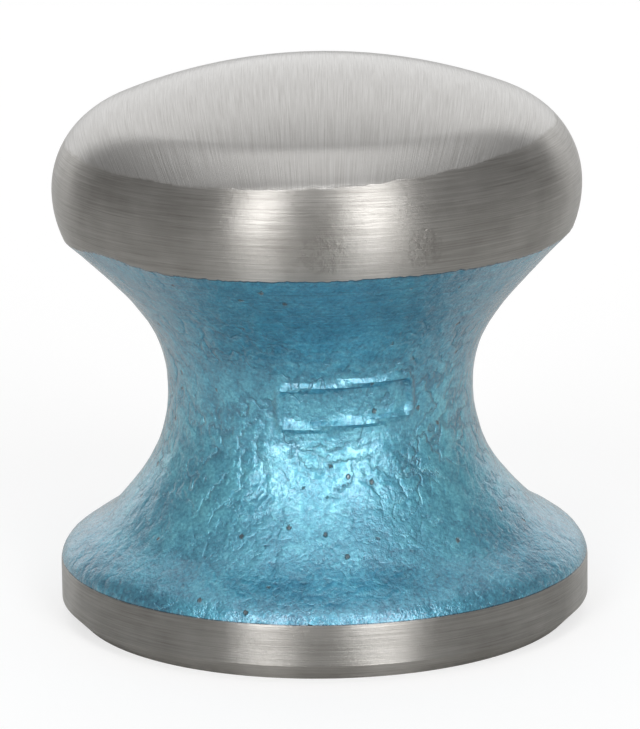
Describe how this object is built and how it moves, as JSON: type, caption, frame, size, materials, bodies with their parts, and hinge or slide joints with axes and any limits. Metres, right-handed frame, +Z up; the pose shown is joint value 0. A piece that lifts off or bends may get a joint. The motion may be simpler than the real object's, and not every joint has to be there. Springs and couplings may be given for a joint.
{
  "type": "hand anvil",
  "caption": "Hand anvil for backing up hammer blows: a crowned steel working face over a painted gripping waist and a flat steel foot.",
  "frame": {"origin": "centre of the flat base of the foot", "axes": "+Z up the turning axis to the middle of the crown; the form is round, so X and Y are alike, and -Y is the side that faced the camera"},
  "size_m": [0.06, 0.06, 0.0632],
  "materials": {
    "ground_steel": "drop forged steel, ground bright and satin on the crown, the rim and the foot",
    "blue_paint": "blue metallic lacquer over the rough skin of the forging, glossy, with small pits"
  },
  "bodies": {
    "root": {"anvil_body": "ground_steel", "paint_coat": "blue_paint"}
  },
  "joints": []
}
